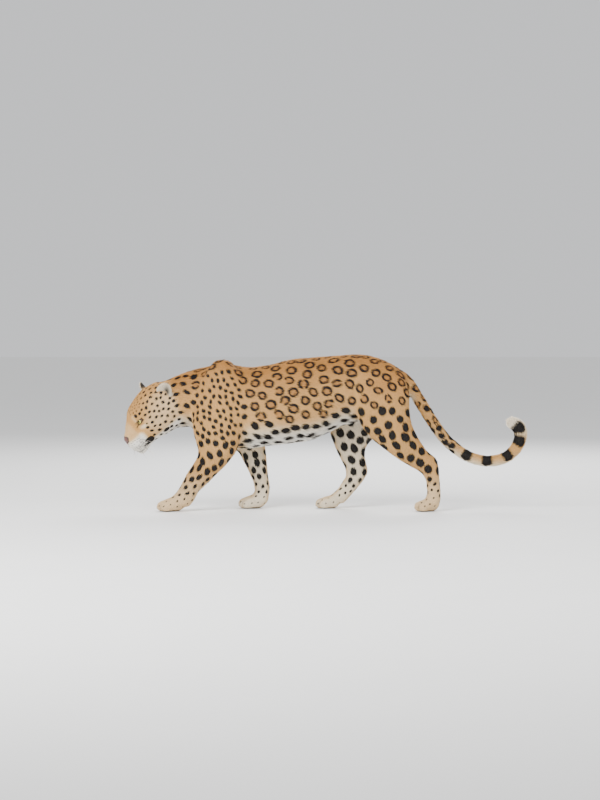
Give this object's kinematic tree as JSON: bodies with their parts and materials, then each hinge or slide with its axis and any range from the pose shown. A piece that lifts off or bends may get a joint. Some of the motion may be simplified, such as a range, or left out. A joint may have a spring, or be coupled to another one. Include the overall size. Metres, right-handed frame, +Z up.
{
  "type": "leopard",
  "caption": "Life-size still model of a walking adult leopard with lowered head and raised tail tip, standing on its four feet.",
  "frame": {"origin": "middle of the bottom of the bounding box, on the floor between the feet", "axes": "+X from the head back to the tail, +Y to the animal's right, +Z up"},
  "size_m": [1.7076, 0.295, 0.6632],
  "materials": {
    "coat": "short dense fur, tawny gold with near-black rosettes, spots and bands",
    "pale_coat": "short off-white fur of the chin and lower lip",
    "nose_leather": "bare, finely pebbled, slightly moist",
    "eye": "wet and glossy, pale green-gold iris with a round pupil"
  },
  "bodies": {
    "root": {"ear_left": "coat", "ear_right": "coat", "eye_left": "eye", "eye_right": "eye", "forearm_left": "coat", "forearm_right": "coat", "forepaw_left": "coat", "forepaw_right": "coat", "head": "coat", "hindfoot_left": "coat", "hindfoot_right": "coat", "jaw": "pale_coat", "neck": "coat", "nose": "nose_leather", "shank_left": "coat", "shank_right": "coat", "shoulder_left": "coat", "shoulder_right": "coat", "tail_bend": "coat", "tail_middle": "coat", "tail_root": "coat", "tail_tip": "coat", "thigh_left": "coat", "thigh_right": "coat", "trunk": "coat"}
  },
  "joints": []
}
